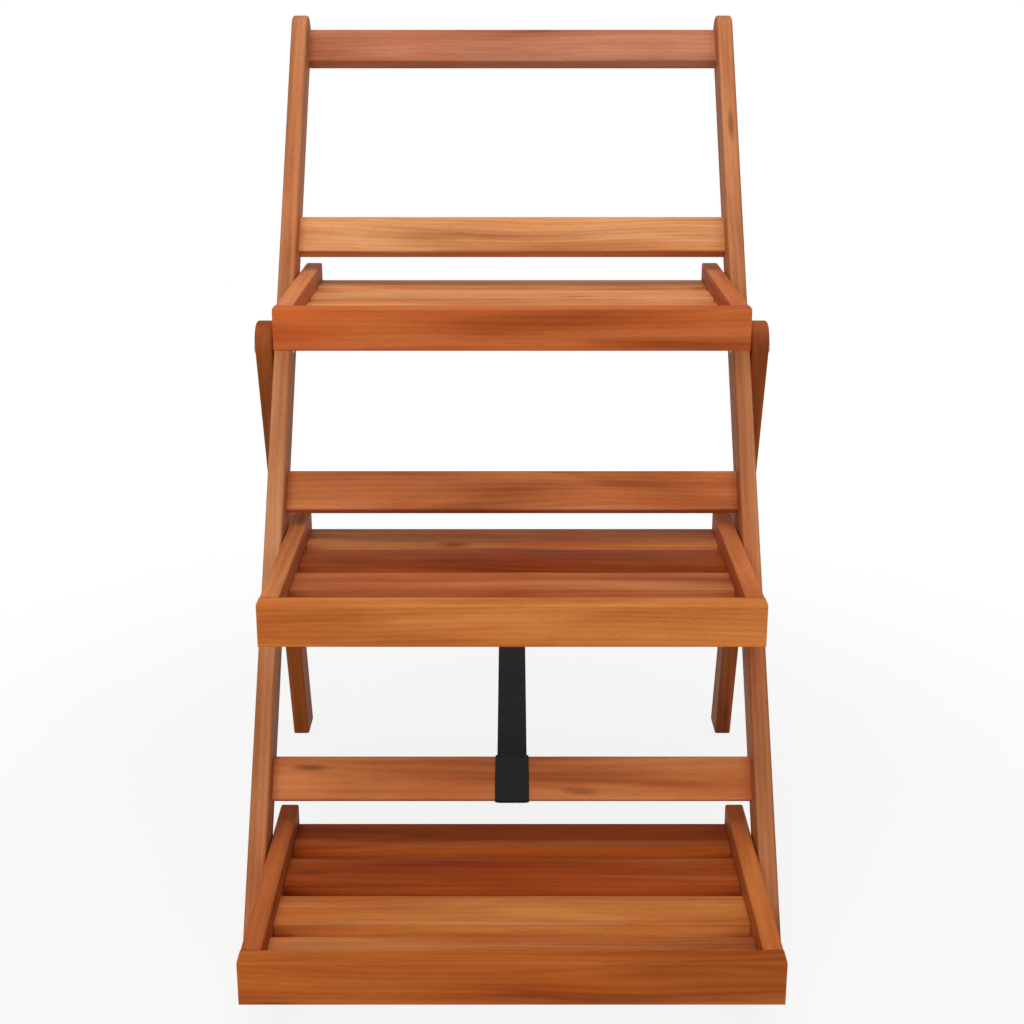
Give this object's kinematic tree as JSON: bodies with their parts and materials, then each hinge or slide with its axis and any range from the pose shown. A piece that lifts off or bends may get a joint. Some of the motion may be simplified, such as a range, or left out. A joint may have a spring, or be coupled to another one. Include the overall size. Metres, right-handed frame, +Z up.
{
  "type": "tiered plant stand",
  "caption": "Folding wooden plant stand: a leaning ladder frame with slatted trays that tip up, and hinged rear legs held by a webbing strap.",
  "frame": {"origin": "on the floor, at the middle of the overall width and depth", "axes": "+X to the right seen from the front, +Y to the back, +Z up"},
  "size_m": [0.5926, 0.7526, 0.9304],
  "materials": {
    "oiled_wood": "oiled hardwood, planed and eased",
    "plated_steel": "zinc plated",
    "webbing": "woven black webbing"
  },
  "bodies": {
    "ladder": {"main_leg_left": "oiled_wood", "main_leg_right": "oiled_wood", "lower_rung": "oiled_wood", "middle_rung": "oiled_wood", "upper_rung": "oiled_wood", "top_rail": "oiled_wood", "tray_pivot_bolts": "plated_steel", "tray_stop_blocks": "oiled_wood", "fold_pivot_bolts": "plated_steel", "fold_pivot_nuts": "plated_steel", "strap_loop_front": "webbing", "strap_span": "webbing"},
    "rear_frame": {"rear_leg_left": "oiled_wood", "rear_leg_right": "oiled_wood", "rear_stretcher": "oiled_wood", "strap_loop_rear": "webbing"},
    "lower_tray": {"lower_front_board": "oiled_wood", "lower_side_rail_left": "oiled_wood", "lower_side_rail_right": "oiled_wood", "lower_slat_1": "oiled_wood", "lower_slat_2": "oiled_wood", "lower_slat_3": "oiled_wood", "lower_slat_4": "oiled_wood", "lower_cleats": "oiled_wood"},
    "middle_tray": {"middle_front_board": "oiled_wood", "middle_side_rail_left": "oiled_wood", "middle_side_rail_right": "oiled_wood", "middle_slat_1": "oiled_wood", "middle_slat_2": "oiled_wood", "middle_slat_3": "oiled_wood", "middle_slat_4": "oiled_wood", "middle_cleats": "oiled_wood"},
    "upper_tray": {"upper_front_board": "oiled_wood", "upper_side_rail_left": "oiled_wood", "upper_side_rail_right": "oiled_wood", "upper_slat_1": "oiled_wood", "upper_slat_2": "oiled_wood", "upper_slat_3": "oiled_wood", "upper_slat_4": "oiled_wood", "upper_cleats": "oiled_wood"}
  },
  "joints": [
    {"name": "lower_tray_tip", "type": "hinge", "parent": "ladder", "child": "lower_tray", "pos_m": [0, -0.19116, 0.08459], "axis": [-1, 0, 0], "range_deg": [0, 98]},
    {"name": "middle_tray_tip", "type": "hinge", "parent": "ladder", "child": "middle_tray", "pos_m": [0, -0.01095, 0.35685], "axis": [-1, 0, 0], "range_deg": [0, 98]},
    {"name": "upper_tray_tip", "type": "hinge", "parent": "ladder", "child": "upper_tray", "pos_m": [0, 0.15987, 0.61494], "axis": [-1, 0, 0], "range_deg": [0, 98]},
    {"name": "rear_frame_fold", "type": "hinge", "parent": "ladder", "child": "rear_frame", "pos_m": [0, 0.12621, 0.56407], "axis": [-1, 0, 0], "range_deg": [0, 45], "deforming": ["strap_span"]}
  ]
}
